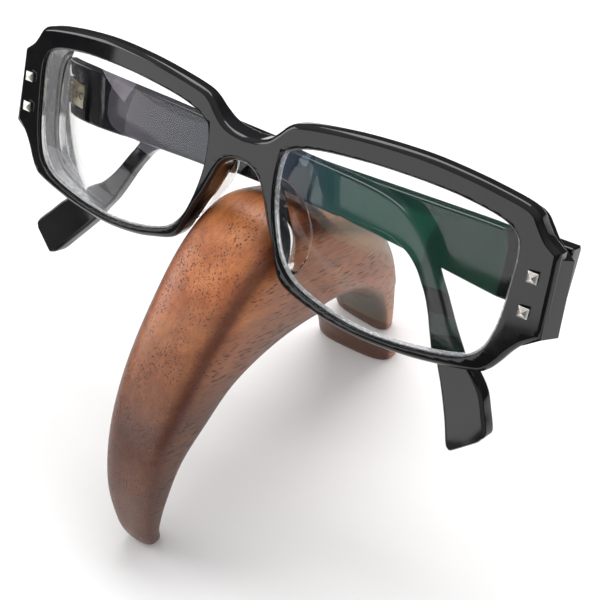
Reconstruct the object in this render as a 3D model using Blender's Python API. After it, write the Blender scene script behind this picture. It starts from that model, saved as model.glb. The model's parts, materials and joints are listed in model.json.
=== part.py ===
"""Carved wooden eyeglass display rest holding a pair of folded acetate eyeglasses.

The rest is one horn-shaped arch of wood: a slim toe in front, a rounded nose at the
top, and a broad flat heel behind.  The eyeglasses straddle the nose on their pads and
lean back against it.  Lengths below are in millimetres; objects are built in metres.

World frame: X to the wearer's left, Y from the toe back to the heel, Z up, with the
table at Z = 0.  Glasses frame: origin in the front face at the bridge, x as world X,
y backwards through the front, z up the front.
"""

import math

import bmesh
import bpy
from mathutils import Matrix, Vector
from mathutils.geometry import tessellate_polygon

MM = 0.001
CLEARANCE = 0.3

# --- wooden rest: (outer y, z), (inner y, z) on the centre plane, and half width
REST_STATIONS = [
    ((-1.8, 0.0), (1.8, 0.0), 2.6),
    ((-3.7, 1.6), (1.4, 1.4), 4.0),
    ((-5.5, 7.6), (0.5, 6.6), 5.4),
    ((-5.8, 19.5), (2.0, 13.8), 7.2),
    ((-1.9, 33.0), (6.5, 22.5), 8.8),
    ((6.4, 45.7), (13.8, 28.9), 10.5),
    ((18.0, 57.6), (22.4, 33.9), 11.7),
    ((31.4, 67.0), (33.4, 36.3), 13.3),
    ((44.4, 70.4), (45.4, 36.2), 14.4),
    ((57.4, 66.1), (56.4, 34.9), 15.4),
    ((69.4, 59.6), (66.2, 31.0), 15.9),
    ((80.4, 52.0), (73.8, 25.0), 15.7),
    ((88.8, 40.0), (79.4, 18.0), 14.9),
    ((93.3, 24.0), (82.6, 10.6), 13.5),
    ((94.4, 10.0), (83.9, 4.6), 12.6),
    ((94.2, 1.8), (84.2, 1.3), 12.0),
    ((93.6, 0.0), (84.8, 0.0), 11.6),
]
REST_ROUNDNESS = 3.0
REST_AROUND = 28
REST_STEPS = 2

# --- seat of the glasses on the rest
SEAT_Y, SEAT_Z = 34.6, 70.4
LEAN_BACK = math.radians(16.7)

# --- front: half outline from the top of the bridge round to the nose arch
TOP_EDGE = [(0, 20.2), (3.5, 20.6), (6, 21.6), (8.2, 23.6), (10.3, 25.8), (13, 27.1),
            (20, 28.3), (30, 29.3), (42, 29.5), (52, 28.6), (60, 27.3), (64.6, 26.2),
            (66.8, 24.9), (68.2, 22.9), (70.1, 20.5), (72.8, 18.5)]
SIDE_EDGE = [(72.8, 18.5), (73.3, 9.3), (73.7, 0.2)]
LOWER_EDGE = [(73.7, 0.2), (70.4, -2.2), (68.4, -4.6), (66.6, -7.6), (64.8, -10), (62.2, -11.5),
              (54, -13), (46, -13.9), (36, -14.1), (27, -13), (21, -11.4), (16.4, -9.8),
              (14, -7.8), (12.5, -4.6), (10.9, -0.6), (9, 3.2), (7.4, 7.2), (5.8, 10.8),
              (4, 13), (2, 14.1), (0, 14.4)]
LENS_OPENING = [(10.9, 20.6), (14.2, 22.2), (20, 23.5), (30, 24.4), (37, 24.6), (44, 24.5),
                (51, 24.0), (58, 22.8), (62, 21.4), (64.3, 19.2), (65.1, 15.5), (65.1, 10),
                (64.9, 4), (64.3, -1.2), (62.8, -5.8), (59.6, -9), (54.9, -10.6), (46, -11.9),
                (37, -12.3), (29, -11.4), (22, -9.6), (17, -7.2), (13.6, -3.4), (11.4, 1.8),
                (10, 7), (9.3, 12), (9.3, 16.5), (9.8, 19.2)]
FRONT_BOW = 1.27e-3          # y = FRONT_BOW * x^2
FRONT_THICK = 4.2
FRONT_BEVEL = 0.9
# the bridge and nose walls run deeper: full within the first radius of a point, fading at the second
NOSE_Z, NOSE_FULL, NOSE_FADE, NOSE_EXTRA = 6.0, 12.0, 24.0, 3.0
NOSE_FLARE = 0.015           # outward spread of the nose walls per millimetre of extra depth
GROOVE_DEPTH = 0.9
GROOVE_AT = 2.1              # depth of the groove's floor behind the front face
GROOVE_HALF = 0.9

# --- endpiece blocks behind the front's outer ends
BLOCK_START, BLOCK_BACK = 7.2, 12.7
BLOCK_OUTLINE = [(62.5, 22.8), (62.5, 24.8), (64.5, 24.4), (66.3, 23.3), (67.7, 21.4), (69.7, 19.2),
                 (72.6, 17.3), (73.5, 0.0), (70.2, -2.5), (66.9, -2.5), (66.9, 20.5)]
BLOCK_REAR = [(62.5, 22.8), (62.5, 24.8), (64.6, 24.7), (66.6, 23.7), (68.2, 21.9), (70.4, 19.3),
              (74.2, 16.3), (75.2, -0.3), (71.0, -2.5), (66.9, -2.5), (66.9, 20.5)]

# --- lenses
LENS_DOME = 1.5
LENS_FRONT = 0.9             # depth of the front surface's edge behind the rim's face
LENS_CENTRE_THICK = 2.0
LENS_GROWTH = 0.0032         # thickness gained per square millimetre away from the optical centre
OPTICAL_CENTRE = (32.0, 8.5)
LENS_RINGS = (0.3, 0.66, 1.0)

# --- hinges (axis position in the glasses frame, at x = +-HINGE_X)
HINGE_X, HINGE_Y = 70.0, 15.2
HINGE_Z = 8.5
BARREL_R, BORE_R, SCREW_R = 1.5, 0.85, 0.55
KNUCKLE_H, KNUCKLE_GAP = 1.0, 0.25
LEAF_THICK = 0.7
FRONT_LEAF_BACK = 12.8       # rear face of the front's leaf, sunk in the block
LEAF_SPAN = (67.2, 70.9)
LEAF_LOW, LEAF_HIGH = 3.4, 14.2
STUD_X = 69.0
STUD_Z = (12.6, 5.0)
STUD_SIDE, STUD_TALL, STUD_LIFT = 2.3, 0.9, 0.5
SHANK_R = 0.6
RIVETS_ALONG = (3.2, 5.9)

# --- temples: side view (distance behind the hinge axis, height)
TEMPLE_TOP = [(-2, 17.3), (12, 17.1), (30, 16.8), (50, 16.4), (70, 15.9), (86, 15.4), (95, 14.9),
              (101, 14), (105.3, 12.6), (108.8, 10.4), (112, 7.4), (114.8, 3.8), (117.2, 0.2),
              (119.9, -3.7), (123.2, -8.4), (127.2, -12.7)]
TEMPLE_PADDLE = [(127.2, -12.7), (131.2, -15.3), (134.5, -17.8), (136.9, -21), (139.1, -24.2),
                 (138.5, -25.7)]
TEMPLE_END = [(138.5, -25.7), (132.3, -30.9), (131, -30.2)]
TEMPLE_LOWER = [(131, -30.2), (128.9, -27), (126.7, -23.8), (124.2, -20.2), (121.4, -16.2),
                (118.4, -10.7), (115.6, -5.2), (113.2, -1.6), (111.2, 1), (108.6, 3.2), (105.8, 4.6),
                (103, 5.4), (100, 5.6), (95, 5.6), (86, 5.4), (70, 5.1), (50, 4.6), (30, 3.4),
                (12, 2), (-2, 1.3)]
TEMPLE_THICK = 4.2
TEMPLE_FACE = -0.8           # inner face, measured inwards from the hinge axis
TEMPLE_BEVEL = 0.7
# the tip turns inwards with the distance reached along its own downward direction
TIP_WRAP = {"left": 10.0, "right": 8.8}
TIP_AXIS = (0.55, -0.835)
WRAP_START, WRAP_LENGTH, WRAP_POWER = 55.0, 42.0, 2.4
POCKETS = ((1.9, 7.7, 7.0), (2.0, 2.1, 8.4))     # floor, length and height: leaf, then barrel
WIRE_WIDE, WIRE_THICK, WIRE_SUNK = 2.4, 1.2, 1.6
WIRE_START, WIRE_END = 8.3, 96.0
FOLD = {"left": math.radians(87.0), "right": math.radians(91.7)}
DROOP = {"left": math.tan(math.radians(1.3)), "right": math.tan(math.radians(-0.6))}
SIDES = {"left": 1, "right": -1}

COLOURS = {
    "wood": ((0.32, 0.14, 0.07), 0.45, 0.0),
    "acetate": ((0.012, 0.012, 0.013), 0.12, 0.0),
    "clear_acetate": ((0.85, 0.83, 0.78), 0.1, 0.0),
    "lens": ((0.85, 0.9, 0.88), 0.03, 0.0),
    "pale_metal": ((0.86, 0.82, 0.68), 0.22, 1.0),
    "steel": ((0.6, 0.6, 0.62), 0.3, 1.0),
}


# ---------------------------------------------------------------- helpers
def clear_scene():
    for obj in list(bpy.data.objects):
        bpy.data.objects.remove(obj, do_unlink=True)


def material(kind, name):
    colour, roughness, metallic = COLOURS[kind]
    mat = bpy.data.materials.new(name)
    mat.use_nodes = True
    shader = mat.node_tree.nodes["Principled BSDF"]
    shader.inputs["Base Color"].default_value = (*colour, 1.0)
    shader.inputs["Roughness"].default_value = roughness
    shader.inputs["Metallic"].default_value = metallic
    return mat


def finish(bm, name, kind, parent=None, smooth=True):
    """Turn a bmesh in millimetres into a named object in metres under its parent."""
    bmesh.ops.recalc_face_normals(bm, faces=bm.faces)
    bmesh.ops.transform(bm, matrix=Matrix.Scale(MM, 4), verts=bm.verts)
    mesh = bpy.data.meshes.new(name)
    bm.to_mesh(mesh)
    bm.free()
    if smooth:
        mesh.shade_smooth()
        mesh.set_sharp_from_angle(angle=math.radians(35))
    obj = bpy.data.objects.new(name, mesh)
    bpy.context.collection.objects.link(obj)
    obj.data.materials.append(material(kind, name))
    obj.parent = parent
    return obj


def empty(name, matrix, parent=None):
    obj = bpy.data.objects.new(name, None)
    bpy.context.collection.objects.link(obj)
    obj.parent = parent
    obj.matrix_local = matrix
    return obj


def boolean(obj, cutter, operation="DIFFERENCE"):
    """Apply one exact boolean and drop the cutter."""
    mod = obj.modifiers.new(cutter.name, "BOOLEAN")
    mod.operation = operation
    mod.object = cutter
    mod.solver = "EXACT"
    bpy.context.view_layer.update()
    deps = bpy.context.evaluated_depsgraph_get()
    mesh = bpy.data.meshes.new_from_object(obj.evaluated_get(deps))
    obj.modifiers.clear()
    obj.data = mesh
    bpy.data.objects.remove(cutter, do_unlink=True)


def smooth_path(points, steps, closed=False):
    """Catmull-Rom curve through 2-D or 3-D points; an open path keeps its last point."""
    pts = [Vector(p) for p in points]
    count = len(pts)
    out = []
    for i in range(count if closed else count - 1):
        p1, p2 = pts[i], pts[(i + 1) % count]
        p0 = pts[i - 1] if closed or i > 0 else 2 * p1 - p2
        p3 = pts[(i + 2) % count] if closed or i + 2 < count else 2 * p2 - p1
        for k in range(steps):
            t = k / steps
            out.append(0.5 * (2 * p1 + (p2 - p0) * t + (2 * p0 - 5 * p1 + 4 * p2 - p3) * t * t
                              + (3 * p1 - p0 - 3 * p2 + p3) * t ** 3))
    if not closed:
        out.append(pts[-1])
    return out


def joined(paths, steps):
    """Several open paths that share end points, as one closed loop with corners."""
    loop = []
    for path in paths:
        loop += smooth_path(path, steps)[:-1]
    return loop


def inset(loop, distance):
    """Move a clockwise 2-D loop inwards; a negative distance moves it outwards."""
    out = []
    count = len(loop)
    for i, p in enumerate(loop):
        a = (p - loop[i - 1]).normalized()
        b = (loop[(i + 1) % count] - p).normalized()
        normal = Vector((a.y + b.y, -a.x - b.x))
        normal.normalize()
        spread = max(0.5, normal.dot(Vector((a.y, -a.x))))
        out.append(p + normal * distance / spread)
    return out


def ring_faces(bm, rings):
    """Quads between neighbouring closed rings."""
    count = len(rings[0])
    for low, high in zip(rings, rings[1:]):
        for i in range(count):
            j = (i + 1) % count
            bm.faces.new((low[i], low[j], high[j], high[i]))


def cap(bm, outer, holes=(), flat=lambda v: (v.co.x, v.co.z)):
    """Fill a loop of vertices, less its holes, with triangles found in a flat view."""
    verts = list(outer)
    loops = [[Vector((*flat(v), 0)) for v in outer]]
    for hole in holes:
        loops.append([Vector((*flat(v), 0)) for v in hole])
        verts += hole
    for tri in tessellate_polygon(loops):
        bm.faces.new([verts[i] for i in tri])


def loft(rings):
    """A bmesh closed body from rings of points with a flat polygon at each end."""
    bm = bmesh.new()
    loops = [[bm.verts.new(p) for p in ring] for ring in rings]
    ring_faces(bm, loops)
    bm.faces.new(loops[0])
    bm.faces.new(loops[-1])
    return bm


def prism(points, low, high, axis="z"):
    """Straight prism of a 2-D polygon between two heights along an axis."""
    place = {"z": lambda p, h: (p[0], p[1], h),
             "y": lambda p, h: (p[0], h, p[1]),
             "x": lambda p, h: (h, p[0], p[1])}[axis]
    return loft([[place(p, h) for p in points] for h in (low, high)])


def circle(radius, count, centre=(0.0, 0.0)):
    return [(centre[0] + radius * math.cos(math.tau * i / count),
             centre[1] + radius * math.sin(math.tau * i / count)) for i in range(count)]


def box(low, high):
    (x0, y0, z0), (x1, y1, z1) = low, high
    return prism([(x0, y0), (x1, y0), (x1, y1), (x0, y1)], z0, z1)


# ---------------------------------------------------------------- wooden rest
def rest_ring(outer, inner, half_width):
    """One rounded-square section, between its outer and inner point."""
    middle, reach = (outer + inner) / 2, (outer - inner) / 2
    ring = []
    for i in range(REST_AROUND):
        angle = math.tau * i / REST_AROUND
        c, s = math.cos(angle), math.sin(angle)
        across = math.copysign(abs(c) ** (2 / REST_ROUNDNESS), c)
        out = math.copysign(abs(s) ** (2 / REST_ROUNDNESS), s)
        point = middle + reach * out
        ring.append((half_width * across, point.x, point.y))
    return ring


def build_rest():
    outer = smooth_path([s[0] for s in REST_STATIONS], REST_STEPS)
    inner = smooth_path([s[1] for s in REST_STATIONS], REST_STEPS)
    width = smooth_path([(s[2], 0) for s in REST_STATIONS], REST_STEPS)
    rings = [rest_ring(o, i, w.x) for o, i, w in zip(outer, inner, width)]
    finish(loft(rings), "wood_rest", "wood")


# ---------------------------------------------------------------- front
def bow(x):
    return FRONT_BOW * x * x


def front_outline(steps=1):
    half = [TOP_EDGE, SIDE_EDGE, LOWER_EDGE]
    mirrored = [[(-x, z) for x, z in reversed(path)] for path in reversed(half)]
    return joined(half + mirrored, steps)


def opening(sign, steps=2):
    loop = smooth_path(LENS_OPENING, steps, closed=True)
    if sign < 0:
        loop = [Vector((-p.x, p.y)) for p in reversed(loop)]
    return loop


def nose_extra(x, z):
    """Extra depth of the bridge and nose walls at a point of the front's outline."""
    t = (NOSE_FADE - math.hypot(x, z - NOSE_Z)) / (NOSE_FADE - NOSE_FULL)
    t = min(1.0, max(0.0, t))
    return NOSE_EXTRA * t * t * (3 - 2 * t)


def lay(bm, loop, depth):
    """Vertices of a 2-D loop laid at a depth behind the bowed front face."""
    return [bm.verts.new((p.x, bow(p.x) + depth, p.y)) for p in loop]


def lay_back(bm, loop, depth):
    """The same for the back of the rim, carried deeper and wider round the nose."""
    ring = lay(bm, loop, depth)
    for vert, p in zip(ring, loop):
        extra = nose_extra(p.x, p.y)
        vert.co.x *= 1 + NOSE_FLARE * extra
        vert.co.y += extra
    return ring


def build_front(seat):
    bm = bmesh.new()
    outline = front_outline()
    walls = [lay(bm, inset(outline, FRONT_BEVEL), 0.0),
             lay(bm, outline, FRONT_BEVEL),
             lay_back(bm, outline, FRONT_THICK - 0.5),
             lay_back(bm, inset(outline, 0.5), FRONT_THICK)]
    ring_faces(bm, walls)
    holes = []
    for sign in (1, -1):
        edge = opening(sign)
        floor = inset(edge, -GROOVE_DEPTH)
        rings = [lay(bm, edge, 0.0), lay(bm, edge, GROOVE_AT - GROOVE_HALF), lay(bm, floor, GROOVE_AT),
                 lay(bm, edge, GROOVE_AT + GROOVE_HALF), lay(bm, edge, FRONT_THICK)]
        ring_faces(bm, rings)
        holes.append((rings[0], rings[-1]))
    cap(bm, walls[0], [h[0] for h in holes])
    cap(bm, walls[-1], [h[1] for h in holes])
    front = finish(bm, "frame_front", "acetate", seat)
    for sign in (1, -1):
        boolean(front, endpiece_block(sign, seat), "UNION")
        low_y = FRONT_LEAF_BACK - LEAF_THICK - CLEARANCE
        x0, x1 = sorted((sign * 66.0, sign * (LEAF_SPAN[1] + CLEARANCE)))
        pocket = box((x0, low_y, LEAF_LOW - CLEARANCE), (x1, 20, LEAF_HIGH + CLEARANCE))
        boolean(front, finish(pocket, "pocket", "acetate", seat))
        for z in STUD_Z:
            hole = prism(circle(SHANK_R + CLEARANCE, 12, (sign * STUD_X, z)), 0, 20, "y")
            boolean(front, finish(hole, "hole", "acetate", seat))
    shade(front)


def endpiece_block(sign, seat):
    """The thick square block behind each outer end, flaring a little towards the back."""
    rings = []
    for y, outline in ((BLOCK_START, BLOCK_OUTLINE), (BLOCK_BACK, BLOCK_REAR)):
        rings.append([(sign * x, y, z) for x, z in outline])
    return finish(loft(rings), "block", "acetate", seat)


def shade(obj):
    obj.data.shade_smooth()
    obj.data.set_sharp_from_angle(angle=math.radians(35))


# ---------------------------------------------------------------- lenses
def lens_thickness(offset):
    """Thickness at an offset from the optical centre."""
    return LENS_CENTRE_THICK + LENS_GROWTH * offset.length_squared


def build_lens(side, seat):
    """A minus lens: domed front, hollower back, and a V edge that sits in the groove."""
    sign = SIDES[side]
    bm = bmesh.new()
    edge = inset(opening(sign), CLEARANCE)
    ridge = inset(opening(sign), CLEARANCE - GROOVE_DEPTH)
    centre = Vector((sign * OPTICAL_CENTRE[0], OPTICAL_CENTRE[1]))

    def surface(t, back):
        points = [centre + (p - centre) * t for p in edge]
        ring = lay(bm, points, LENS_FRONT - LENS_DOME * (1 - t * t))
        for vert, p in zip(ring, points):
            vert.co.y += back * lens_thickness(p - centre)
        return ring

    front = [surface(t, 0) for t in LENS_RINGS]
    back = [surface(t, 1) for t in reversed(LENS_RINGS)]
    bevel = [lay(bm, edge, GROOVE_AT - GROOVE_HALF + 0.2), lay(bm, ridge, GROOVE_AT),
             lay(bm, edge, GROOVE_AT + GROOVE_HALF - 0.2)]
    rings = front + bevel + back
    ring_faces(bm, rings)
    bm.faces.new(rings[0])
    bm.faces.new(rings[-1])
    finish(bm, f"lens_{side}", "lens", seat)


# ---------------------------------------------------------------- nose pads
PAD_STATIONS = [(13.0, 4.9, 2.0), (11.0, 5.9, 5.2), (7.2, 7.5, 8.2), (3.4, 9.1, 9.2),
                (-0.6, 11.0, 8.8), (-4.6, 12.7, 6.4), (-7.4, 14.2, 2.6)]
PAD_THICK = (1.5, 1.2)
PAD_LEAST = 0.8


def build_pad(side, seat):
    """A curved blade behind the nose wall: each station is height, inner x and reach behind the rim."""
    sign = SIDES[side]
    rings = []
    for z, x, reach in smooth_path(PAD_STATIONS, 2):
        start = nose_extra(x, z)
        length = max(PAD_LEAST, reach - start)
        face, rear = [], []
        for along in (0.0, 0.55, 1.0):
            deep = start + along * length
            px = x * (1 + NOSE_FLARE * deep)
            thick = PAD_THICK[0] + (PAD_THICK[1] - PAD_THICK[0]) * along
            y = FRONT_THICK + CLEARANCE + bow(px) + deep
            face.append((sign * px, y, z))
            rear.append((sign * (px + thick), y - 0.04 * along * length, z))
        rings.append(face + rear[::-1])
    finish(loft(rings), f"nose_pad_{side}", "clear_acetate", seat)


# ---------------------------------------------------------------- studs
def build_stud(side, index, seat):
    """A small square pyramid on the front, with its shank through to the hinge leaf."""
    sign = SIDES[side]
    x, z = sign * STUD_X, STUD_Z[index]
    face = bow(STUD_X)
    half = STUD_SIDE / 2
    square = [(x - half, z - half), (x + half, z - half), (x + half, z + half), (x - half, z + half)]
    bm = bmesh.new()
    base = [bm.verts.new((px, face - STUD_LIFT, pz)) for px, pz in square]
    rim = [bm.verts.new((px, face - STUD_LIFT - 0.25, pz)) for px, pz in square]
    tip = bm.verts.new((x, face - STUD_LIFT - STUD_TALL, z))
    ring_faces(bm, [base, rim])
    bm.faces.new(base)
    for i in range(4):
        bm.faces.new((rim[i], rim[(i + 1) % 4], tip))
    name = f"stud_{side}_{('upper', 'lower')[index]}"
    stud = finish(bm, name, "pale_metal", seat, smooth=False)
    shank = prism(circle(SHANK_R, 12, (x, z)), face - STUD_LIFT - 0.1, FRONT_LEAF_BACK - 0.1, "y")
    boolean(stud, finish(shank, "shank", "pale_metal", seat), "UNION")


# ---------------------------------------------------------------- hinges
def knuckle_levels(indices):
    """Low and high z of the chosen knuckles out of five, counted from below."""
    pitch = KNUCKLE_H + KNUCKLE_GAP
    start = HINGE_Z - 2.5 * KNUCKLE_H - 2 * KNUCKLE_GAP
    return [(start + i * pitch, start + i * pitch + KNUCKLE_H) for i in indices]


def finger(start, turn, tail):
    """Outline of a finger: an arc of the barrel, then the tail that joins its leaf."""
    count = 18
    arc = []
    for i in range(count + 1):
        angle = math.radians(start + turn * i / count)
        arc.append((BARREL_R * math.cos(angle), BARREL_R * math.sin(angle)))
    return arc + tail


def build_leaf(name, plate, outline, levels, rivets, parent):
    """A hinge leaf: plate, fingers, the screw's bore and the rivet holes."""
    leaf = finish(plate, name, "pale_metal", parent, smooth=False)
    for low, high in levels:
        boolean(leaf, finish(prism(outline, low, high), "finger", "pale_metal", parent), "UNION")
    cutters = [prism(circle(BORE_R, 16), HINGE_Z - 6, HINGE_Z + 6)] + rivets
    for cutter in cutters:
        boolean(leaf, finish(cutter, "hole", "pale_metal", parent))
    shade(leaf)


def build_front_leaf(side, axis):
    """Leaf sunk in the endpiece block, in coordinates about the hinge axis."""
    sign = SIDES[side]
    back = FRONT_LEAF_BACK - HINGE_Y
    x0, x1 = sorted(sign * (x - HINGE_X) for x in LEAF_SPAN)
    plate = box((x0, back - LEAF_THICK, LEAF_LOW), (x1, back, LEAF_HIGH))
    outline = finger(-58, 296, [(-0.79, back - 0.4), (0.79, back - 0.4)])
    holes = []
    for z in STUD_Z:
        hole = circle(SHANK_R + CLEARANCE, 12, (sign * (STUD_X - HINGE_X), z))
        holes.append(prism(hole, back - 2, back + 2, "y"))
    build_leaf(f"hinge_front_leaf_{side}", plate, outline, knuckle_levels((1, 3)), holes, axis)


def temple_point(sign, along, inwards, z):
    return (-sign * inwards, along, z)


def build_temple_leaf(side, hub):
    """Leaf let into the temple's inner face, with three fingers."""
    sign = SIDES[side]
    near = -TEMPLE_FACE
    far = near + LEAF_THICK
    levels = knuckle_levels((0, 2, 4))
    x0, x1 = sorted((sign * near, sign * far))
    plate = box((x0, 1.8, levels[0][0] - 0.15), (x1, 7.3, levels[-1][1] + 0.15))
    outline = finger(15, -316, [(near + 0.05, 2.2), (far - 0.05, 2.2)])
    outline = [(sign * x, y) for x, y in outline]
    bores = [circle(SHANK_R + CLEARANCE, 12, (along, HINGE_Z)) for along in RIVETS_ALONG]
    holes = [prism(bore, -12, 12, "x") for bore in bores]
    build_leaf(f"hinge_temple_leaf_{side}", plate, outline, levels, holes, hub)


def build_screw(side, axis):
    """Hinge screw: shank through all five fingers, with a slotted head on top."""
    levels = knuckle_levels((0, 4))
    top = levels[1][1] + 0.25
    shank = prism(circle(SCREW_R, 14), levels[0][0] - 0.2, top + 0.1)
    screw = finish(shank, f"hinge_screw_{side}", "steel", axis)
    boolean(screw, finish(prism(circle(1.1, 16), top, top + 0.6), "head", "steel", axis), "UNION")
    slot = box((-2, -0.15, top + 0.3), (2, 0.15, top + 2))
    boolean(screw, finish(slot, "slot", "steel", axis))
    shade(screw)


# ---------------------------------------------------------------- temples
def wrap(side, p):
    """How far the tip curves inwards at a point of the side view."""
    reach = max(0.0, p.dot(Vector(TIP_AXIS)) - WRAP_START) / WRAP_LENGTH
    return TIP_WRAP[side] * reach ** WRAP_POWER


def temple_ring(bm, side, loop, inwards):
    sign = SIDES[side]
    droop = DROOP[side]
    return [bm.verts.new(temple_point(sign, p.x, inwards + wrap(side, p), p.y - p.x * droop)) for p in loop]


def build_temple(side, hub):
    root = [TEMPLE_LOWER[-1], TEMPLE_TOP[0]]
    outline = joined([TEMPLE_TOP, TEMPLE_PADDLE, TEMPLE_END, TEMPLE_LOWER, root], 1)
    inner, outer = TEMPLE_FACE, TEMPLE_FACE - TEMPLE_THICK
    slim = inset(outline, TEMPLE_BEVEL)
    bm = bmesh.new()
    rings = [temple_ring(bm, side, slim, outer),
             temple_ring(bm, side, outline, outer + TEMPLE_BEVEL),
             temple_ring(bm, side, outline, inner - TEMPLE_BEVEL),
             temple_ring(bm, side, slim, inner)]
    ring_faces(bm, rings)
    for ring in (rings[0], rings[-1]):
        cap(bm, ring, flat=lambda v: (v.co.y, v.co.z))
    temple = finish(bm, f"temple_{side}", "acetate", hub)
    sign = SIDES[side]
    for x, along, tall in POCKETS:
        x0, x1 = sorted((sign * x, -sign * 2))
        pocket = box((x0, -4, HINGE_Z - tall / 2), (x1, along, HINGE_Z + tall / 2))
        boolean(temple, finish(pocket, "pocket", "acetate", hub))
    boolean(temple, finish(wire_body(side, CLEARANCE), "wire_bore", "acetate", hub))
    for along in RIVETS_ALONG:
        hole = prism(circle(SHANK_R + CLEARANCE, 12, (along, HINGE_Z)), -12, 12, "x")
        boolean(temple, finish(hole, "hole", "acetate", hub))
    shade(temple)


def wire_body(side, grow=0.0):
    """The flat core wire inside the blade, or its bore when grown: open to the leaf pocket."""
    sign = SIDES[side]
    middle = TEMPLE_FACE - WIRE_SUNK
    rings = []
    for along in (WIRE_START - 4 * grow, 30, 60, WIRE_END + grow):
        height = 10.3 - 0.004 * along - along * DROOP[side]
        half_w, half_t = WIRE_WIDE / 2 + grow, WIRE_THICK / 2 + grow
        corners = ((-half_t, -half_w), (half_t, -half_w), (half_t, half_w), (-half_t, half_w))
        rings.append([(-sign * (middle + a), along, height + b) for a, b in corners])
    return loft(rings)


def build_wire(side, hub):
    finish(wire_body(side), f"core_wire_{side}", "steel", hub, smooth=False)


def build_rivet(side, index, hub):
    """A plain rivet, flush outside the temple and through the leaf inside it."""
    sign = SIDES[side]
    outer = TEMPLE_FACE - TEMPLE_THICK
    along = RIVETS_ALONG[index]
    x0, x1 = sorted((-sign * outer, -sign * (TEMPLE_FACE - 0.1)))
    name = f"temple_rivet_{side}_{('front', 'rear')[index]}"
    finish(prism(circle(SHANK_R, 12, (along, HINGE_Z)), x0, x1, "x"), name, "pale_metal", hub)


def main():
    clear_scene()
    build_rest()
    seat_matrix = Matrix.Translation(Vector((0, SEAT_Y, SEAT_Z)) * MM) @ Matrix.Rotation(-LEAN_BACK, 4, "X")
    seat = empty("glasses_seat", seat_matrix)
    build_front(seat)
    for side, sign in SIDES.items():
        build_lens(side, seat)
        build_pad(side, seat)
        axis_matrix = Matrix.Translation(Vector((sign * HINGE_X, HINGE_Y, 0)) * MM)
        axis = empty(f"hinge_axis_{side}", axis_matrix, seat)
        hub = empty(f"temple_hub_{side}", Matrix.Rotation(sign * FOLD[side], 4, "Z"), axis)
        build_front_leaf(side, axis)
        build_screw(side, axis)
        build_temple(side, hub)
        build_temple_leaf(side, hub)
        build_wire(side, hub)
        for index in range(2):
            build_stud(side, index, seat)
            build_rivet(side, index, hub)


main()
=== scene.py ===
import json
import math

import bmesh
import bpy
from mathutils import Matrix, Vector
from mathutils.geometry import tessellate_polygon


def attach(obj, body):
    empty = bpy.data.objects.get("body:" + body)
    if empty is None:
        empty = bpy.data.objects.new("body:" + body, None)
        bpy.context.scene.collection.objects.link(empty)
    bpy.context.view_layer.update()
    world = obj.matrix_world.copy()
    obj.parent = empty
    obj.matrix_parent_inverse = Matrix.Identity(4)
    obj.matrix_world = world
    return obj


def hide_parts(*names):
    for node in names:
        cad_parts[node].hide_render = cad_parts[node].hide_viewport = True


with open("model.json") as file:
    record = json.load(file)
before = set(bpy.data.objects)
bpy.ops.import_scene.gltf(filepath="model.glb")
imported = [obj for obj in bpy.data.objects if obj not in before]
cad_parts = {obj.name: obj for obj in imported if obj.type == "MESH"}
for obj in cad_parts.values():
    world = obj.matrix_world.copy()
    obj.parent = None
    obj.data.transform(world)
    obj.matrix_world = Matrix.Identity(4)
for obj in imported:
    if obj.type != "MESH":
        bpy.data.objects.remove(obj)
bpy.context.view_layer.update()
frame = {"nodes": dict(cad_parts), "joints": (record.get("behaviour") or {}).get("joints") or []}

MM = 0.001
SIDES = {"left": 1, "right": -1}

# --- wooden rest: (outer y, z), (inner y, z) on the centre plane, and half width, in mm
REST_STATIONS = [
    ((-1.8, 0.0), (1.8, 0.0), 2.6),
    ((-3.7, 1.6), (1.4, 1.4), 4.0),
    ((-5.5, 7.6), (0.5, 6.6), 5.4),
    ((-5.8, 19.5), (2.0, 13.8), 7.2),
    ((-1.9, 33.0), (6.5, 22.5), 8.8),
    ((6.4, 45.7), (13.8, 28.9), 10.5),
    ((18.0, 57.6), (22.4, 33.9), 11.7),
    ((31.4, 67.0), (33.4, 36.3), 13.3),
    ((44.4, 70.4), (45.4, 36.2), 14.4),
    ((57.4, 66.1), (56.4, 34.9), 15.4),
    ((69.4, 59.6), (66.2, 31.0), 15.9),
    ((80.4, 52.0), (73.8, 25.0), 15.7),
    ((88.8, 40.0), (79.4, 18.0), 14.9),
    ((93.3, 24.0), (82.6, 10.6), 13.5),
    ((94.4, 10.0), (83.9, 4.6), 12.6),
    ((94.2, 1.8), (84.2, 1.3), 12.0),
    ((93.6, 0.0), (84.8, 0.0), 11.6),
]
REST_ROUNDNESS = 3.0
REST_AROUND = 96
REST_STEPS = 9

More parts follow.
